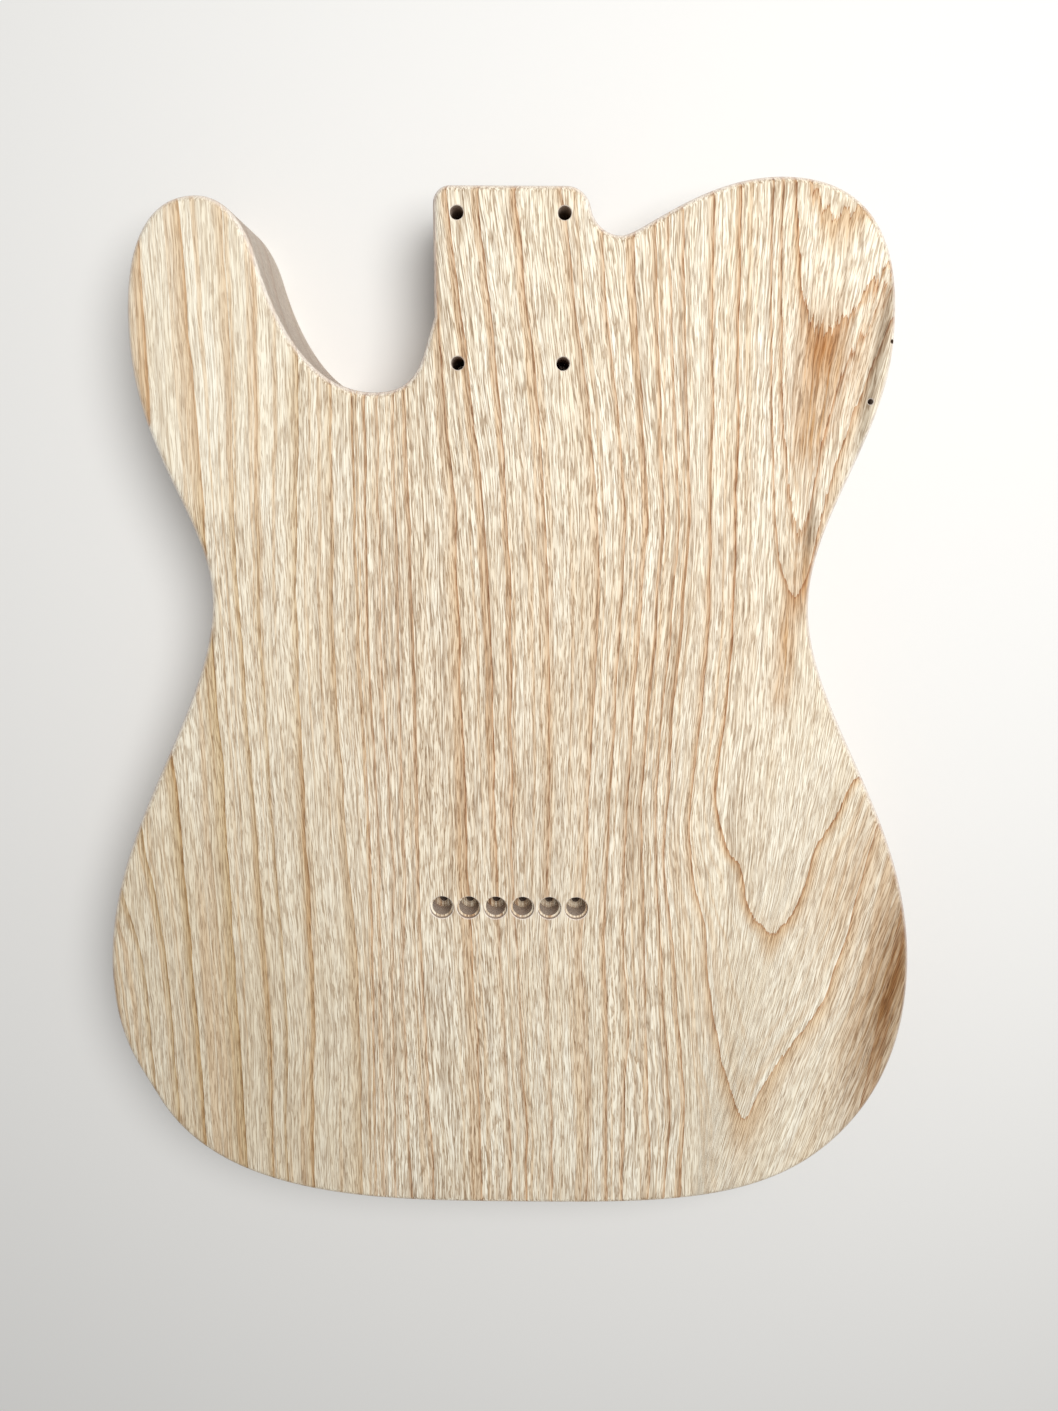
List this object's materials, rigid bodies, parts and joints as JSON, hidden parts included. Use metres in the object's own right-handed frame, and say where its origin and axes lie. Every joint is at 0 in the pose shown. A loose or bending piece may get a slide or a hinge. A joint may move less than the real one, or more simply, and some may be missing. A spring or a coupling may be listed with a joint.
{
  "type": "electric guitar body",
  "caption": "Bare solid-wood electric guitar body with one cutaway: edge-glued boards, bolt-on neck pocket, string-through bridge, pickup, control and jack routes.",
  "frame": {"origin": "middle of the outline's box on the front face, which lies on z = 0", "axes": "+Y along the body towards the neck, +X towards the bass side, +Z out of the back face"},
  "size_m": [0.325, 0.407, 0.0444],
  "materials": {
    "ash": "bare sanded ash, open pores, no lacquer",
    "wood_glue": "dried wood glue, flush with the sanded wood"
  },
  "bodies": {
    "root": {"treble_board": "ash", "centre_board": "ash", "bass_board": "ash", "treble_glue_line": "wood_glue", "bass_glue_line": "wood_glue"}
  },
  "joints": []
}
